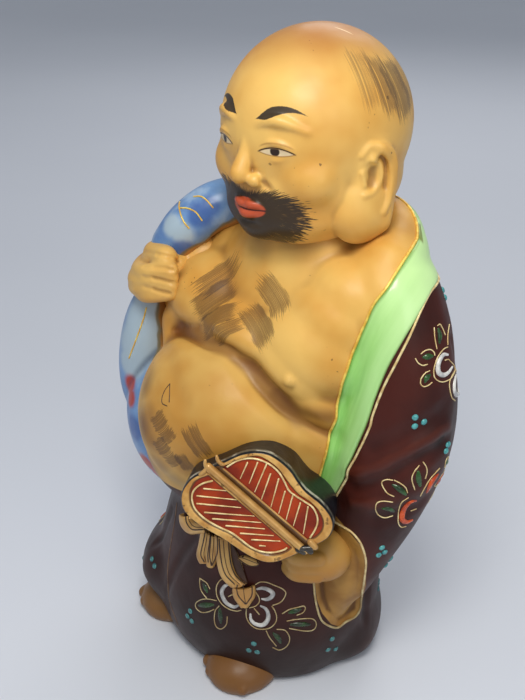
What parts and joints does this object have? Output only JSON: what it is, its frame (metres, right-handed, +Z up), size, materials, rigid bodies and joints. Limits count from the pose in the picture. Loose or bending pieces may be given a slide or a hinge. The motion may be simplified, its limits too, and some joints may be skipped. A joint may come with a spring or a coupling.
{
  "type": "buddha figure",
  "caption": "Standing porcelain figure of a bald, bare-bellied laughing monk with a sack over one shoulder and a fan.",
  "frame": {"origin": "on the flat underside, near the middle of the base ring", "axes": "+Z up, the figure's height; the figure faces -Y; its own left hand, which holds the fan, is towards +X"},
  "size_m": [0.145, 0.1103, 0.2499],
  "materials": {
    "painted_porcelain": "glazed and hand-painted porcelain"
  },
  "bodies": {
    "root": {"buddha_figure": "painted_porcelain"}
  },
  "joints": []
}
